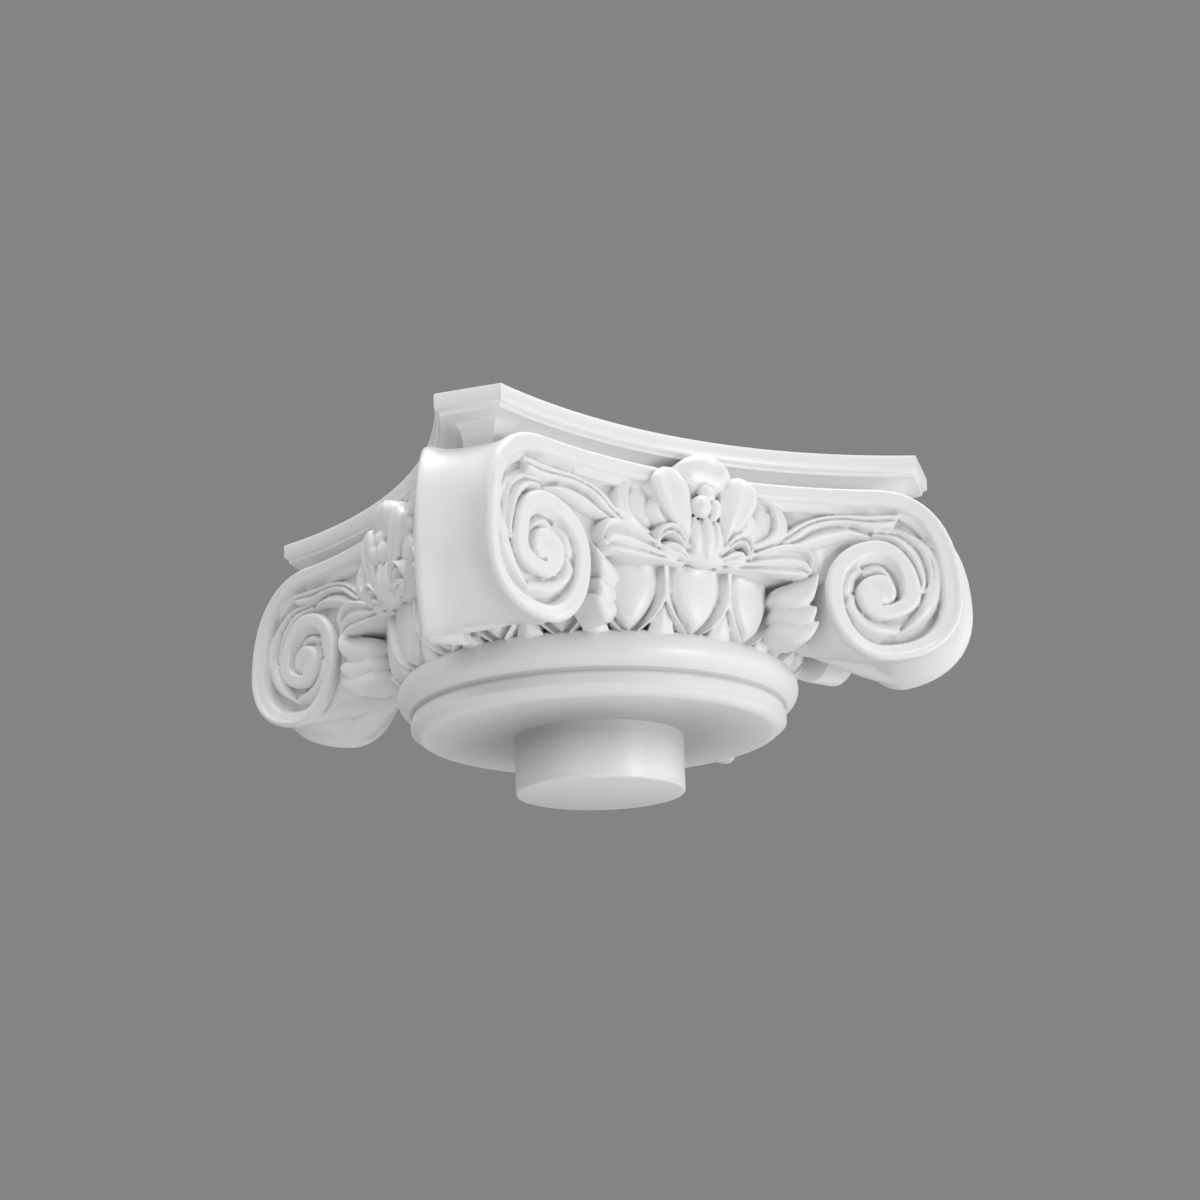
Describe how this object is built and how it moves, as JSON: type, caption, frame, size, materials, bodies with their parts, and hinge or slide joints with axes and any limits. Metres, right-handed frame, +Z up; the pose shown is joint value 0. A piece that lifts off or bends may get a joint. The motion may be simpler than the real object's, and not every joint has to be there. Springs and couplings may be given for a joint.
{
  "type": "column capital",
  "caption": "Cast column capital with corner volutes, carved concave faces, an egg moulding, a curved square abacus and a round spigot below.",
  "frame": {"origin": "centre of the spigot's flat underside, the lowest point of the casting", "axes": "+Z up along the column's axis, -Y out of the front face, +X to the right of the front face"},
  "size_m": [0.3476, 0.3476, 0.178],
  "materials": {
    "white_cast": "satin white, factory primed casting"
  },
  "bodies": {
    "root": {"capital": "white_cast"}
  },
  "joints": []
}
